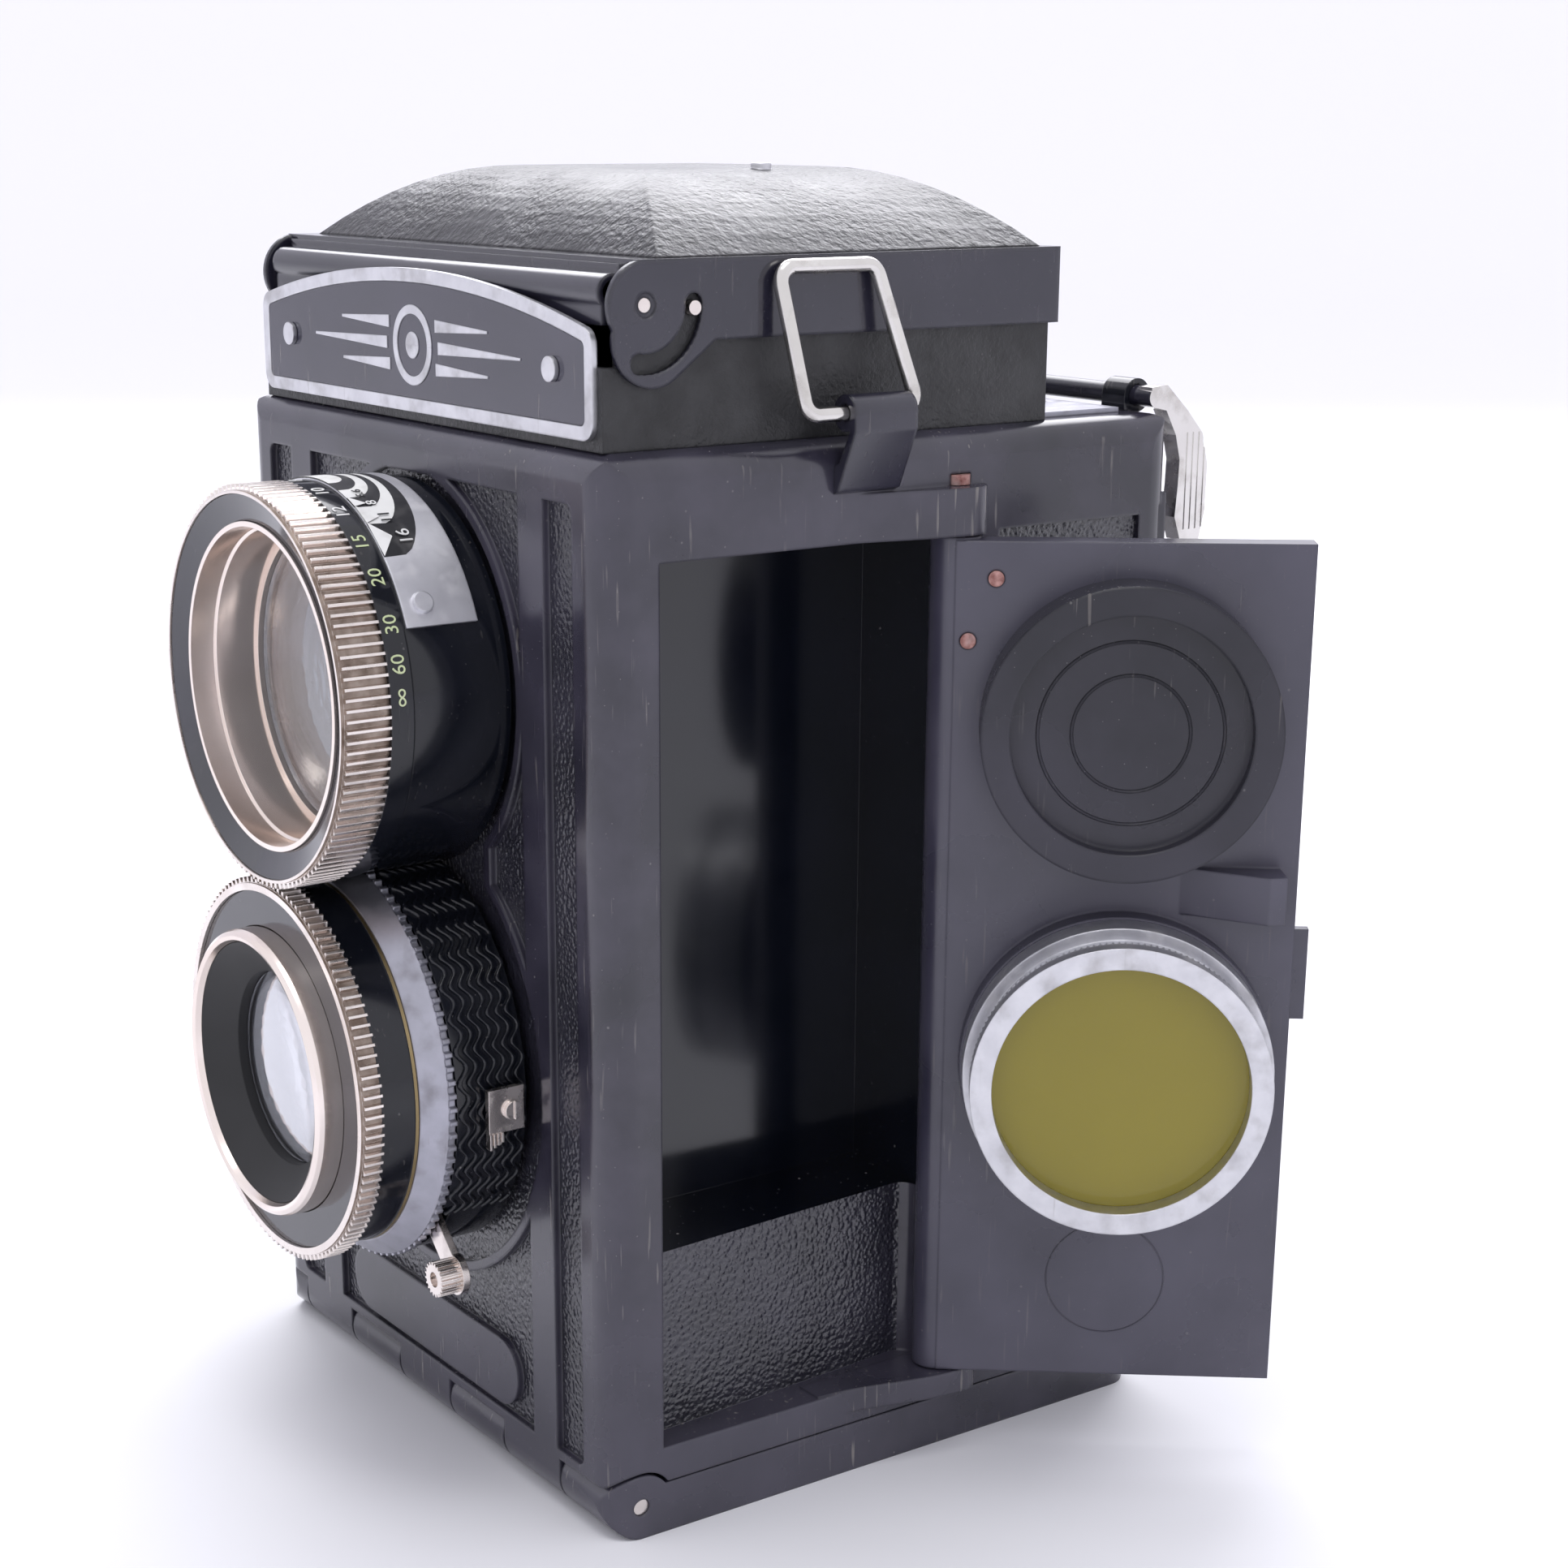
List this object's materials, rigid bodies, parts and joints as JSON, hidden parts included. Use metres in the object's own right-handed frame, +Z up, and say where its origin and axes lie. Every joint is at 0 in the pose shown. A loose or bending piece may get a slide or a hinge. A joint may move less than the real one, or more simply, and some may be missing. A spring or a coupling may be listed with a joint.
{
  "type": "twin lens reflex camera",
  "caption": "Box camera with a viewing lens geared to a taking lens, a folding focusing hood, a hinged back and a side door that stores a cap and a filter.",
  "frame": {"origin": "centre of the base plane, at the tripod bush mouth", "axes": "+X to the accessory door side, -Y to the lens side, +Z up"},
  "size_m": [0.1272, 0.1109, 0.1528],
  "materials": {
    "bakelite": "polished, worn",
    "grained_panel": "moulded leather grain",
    "bright_metal": "satin",
    "enamel": "gloss enamel",
    "black_metal": "black lacquer",
    "scale_metal": "satin",
    "nickel": "warm nickel, worn",
    "lens_glass": "coated",
    "blued_steel": "dark",
    "leather": "grained",
    "ground_glass": "ground",
    "mirror_glass": "silvered",
    "copper": "tarnished",
    "cap_plastic": "moulded",
    "yellow_glass": "yellow-olive",
    "red_glass": "red",
    "spool_plastic": "moulded"
  },
  "bodies": {
    "camera_body": {"body_shell": "bakelite", "left_side_plate": "grained_panel", "nameplate": "bright_metal", "nameplate_field": "enamel", "nameplate_rivets": "bright_metal", "viewing_barrel": "black_metal", "depth_scale_plate": "scale_metal", "viewing_rear_element": "lens_glass", "shutter_housing": "black_metal", "shutter_blades": "blued_steel", "taking_rear_element": "lens_glass", "hood_base": "leather", "hood_pivot_pins": "nickel", "focusing_screen": "ground_glass", "mirror": "mirror_glass", "strap_brackets": "black_metal", "door_hinge_pin": "copper", "back_hinge_pin": "nickel", "latch_bushes": "black_metal", "deck_plate": "scale_metal", "film_gate": "black_metal"},
    "viewing_lens": {"viewing_focus_ring": "nickel", "distance_band": "black_metal", "viewing_bezel": "black_metal", "viewing_lens_cell": "nickel", "viewing_front_element": "lens_glass"},
    "taking_lens": {"taking_focus_ring": "nickel", "taking_name_ring": "black_metal", "taking_filter_rim": "nickel", "taking_inner_cone": "black_metal", "taking_front_element": "lens_glass", "taking_barrel": "black_metal"},
    "hood_lid": {"hood_lid": "black_metal", "lid_leather": "leather"},
    "accessory_door": {"accessory_door": "bakelite", "door_rivets": "copper", "lens_cap": "cap_plastic", "filter_rim": "bright_metal", "filter_glass": "yellow_glass"},
    "back_cover": {"back_cover": "bakelite", "tripod_bush": "nickel", "red_window": "red_glass"},
    "film_advance": {"take_up_spool": "spool_plastic", "winding_knob": "cap_plastic"},
    "speed_ring": {"speed_ring": "scale_metal"},
    "cocking_lever": {"cocking_lever": "nickel"},
    "aperture_lever": {"aperture_lever": "nickel"},
    "release_lever": {"release_lever": "nickel"},
    "hood_wing_left": {"hood_wing_left": "black_metal"},
    "hood_wing_right": {"hood_wing_right": "black_metal"},
    "bail_right": {"bail_right": "nickel"},
    "bail_left": {"bail_left": "nickel"},
    "pressure_plate": {"pressure_plate": "blued_steel"},
    "window_slide": {"window_slide": "black_metal"},
    "back_latch": {"back_latch": "nickel"},
    "supply_spool": {"supply_spool": "spool_plastic"},
    "supply_spindle": {"supply_spindle": "nickel"},
    "counter_dial": {"counter_dial": "scale_metal"},
    "film_roller_upper": {"film_roller_upper": "scale_metal"},
    "film_roller_lower": {"film_roller_lower": "scale_metal"}
  },
  "joints": [
    {"name": "viewing_focus", "type": "hinge", "parent": "camera_body", "child": "viewing_lens", "pos_m": [0, -0.058, 0.0957], "axis": [0, 1, 0], "range_deg": [-45, 135]},
    {"name": "taking_focus", "type": "hinge", "parent": "camera_body", "child": "taking_lens", "pos_m": [0, -0.058, 0.0501], "axis": [0, 1, 0], "range_deg": [-135, 45]},
    {"name": "speed_select", "type": "hinge", "parent": "camera_body", "child": "speed_ring", "pos_m": [0, -0.051, 0.0501], "axis": [0, 1, 0], "range_deg": [-60, 60]},
    {"name": "shutter_cocking", "type": "hinge", "parent": "camera_body", "child": "cocking_lever", "pos_m": [0, -0.049, 0.0501], "axis": [0, 1, 0], "range_deg": [0, 50], "stiffness_Nm_per_rad": 0.002},
    {"name": "aperture_select", "type": "hinge", "parent": "camera_body", "child": "aperture_lever", "pos_m": [0, -0.043, 0.0501], "axis": [0, 1, 0], "range_deg": [-30, 30]},
    {"name": "shutter_release", "type": "hinge", "parent": "camera_body", "child": "release_lever", "pos_m": [0, -0.044, 0.0501], "axis": [0, 1, 0], "range_deg": [0, 8], "stiffness_Nm_per_rad": 0.002},
    {"name": "hood_lid_hinge", "type": "hinge", "parent": "camera_body", "child": "hood_lid", "pos_m": [0, -0.0335, 0.1392], "axis": [1, 0, 0], "range_deg": [0, 90]},
    {"name": "hood_wing_right_hinge", "type": "hinge", "parent": "camera_body", "child": "hood_wing_right", "pos_m": [0.0374, 0, 0.137], "axis": [0, 1, 0], "range_deg": [0, 90]},
    {"name": "hood_wing_left_hinge", "type": "hinge", "parent": "camera_body", "child": "hood_wing_left", "pos_m": [-0.0374, 0, 0.137], "axis": [0, 1, 0], "range_deg": [-90, 0]},
    {"name": "bail_right_swing", "type": "hinge", "parent": "camera_body", "child": "bail_right", "pos_m": [0.0439, -0.0076, 0.1273], "axis": [0, 1, 0], "range_deg": [0, 140]},
    {"name": "bail_left_swing", "type": "hinge", "parent": "camera_body", "child": "bail_left", "pos_m": [-0.0439, -0.0076, 0.1273], "axis": [0, 1, 0], "range_deg": [-140, 0]},
    {"name": "door_hinge", "type": "hinge", "parent": "camera_body", "child": "accessory_door", "pos_m": [0.0414, 0.0072, 0.06], "axis": [0, 0, 1], "range_deg": [-141.7, 13]},
    {"name": "back_hinge", "type": "hinge", "parent": "camera_body", "child": "back_cover", "pos_m": [0, -0.0363, 0.00395], "axis": [1, 0, 0], "range_deg": [-95, 0]},
    {"name": "pressure_plate_slide", "type": "slide", "parent": "back_cover", "child": "pressure_plate", "axis": [0, 1, 0], "range_m": [0, 0.0012], "stiffness_N_per_m": 200},
    {"name": "window_slide_travel", "type": "slide", "parent": "back_cover", "child": "window_slide", "axis": [0, 0, 1], "range_m": [0, 0.01]},
    {"name": "latch_hinge", "type": "hinge", "parent": "camera_body", "child": "back_latch", "pos_m": [0, 0.039, 0.126], "axis": [1, 0, 0], "range_deg": [0, 70]},
    {"name": "film_advance", "type": "hinge", "parent": "camera_body", "child": "film_advance", "pos_m": [0, 0.0253, 0.0999], "axis": [1, 0, 0], "continuous": true},
    {"name": "supply_spool_turn", "type": "hinge", "parent": "camera_body", "child": "supply_spool", "pos_m": [0, -0.0035, 0.0176], "axis": [1, 0, 0], "continuous": true},
    {"name": "supply_spindle_pull", "type": "slide", "parent": "camera_body", "child": "supply_spindle", "axis": [-1, 0, 0], "range_m": [0, 0.004]},
    {"name": "counter_turn", "type": "hinge", "parent": "camera_body", "child": "counter_dial", "pos_m": [-0.0394, -0.014, 0.098], "axis": [1, 0, 0], "continuous": true},
    {"name": "roller_upper_turn", "type": "hinge", "parent": "camera_body", "child": "film_roller_upper", "pos_m": [0, 0.0266, 0.0835], "axis": [1, 0, 0], "continuous": true},
    {"name": "roller_lower_turn", "type": "hinge", "parent": "camera_body", "child": "film_roller_lower", "pos_m": [0, 0.0266, 0.0167], "axis": [1, 0, 0], "continuous": true}
  ],
  "couplings": [
    {"joint": "taking_focus", "follows": "viewing_focus", "ratio": -1},
    {"joint": "hood_wing_right_hinge", "follows": "hood_lid_hinge", "ratio": 1},
    {"joint": "hood_wing_left_hinge", "follows": "hood_lid_hinge", "ratio": -1},
    {"joint": "counter_turn", "follows": "film_advance", "ratio": -0.08}
  ]
}
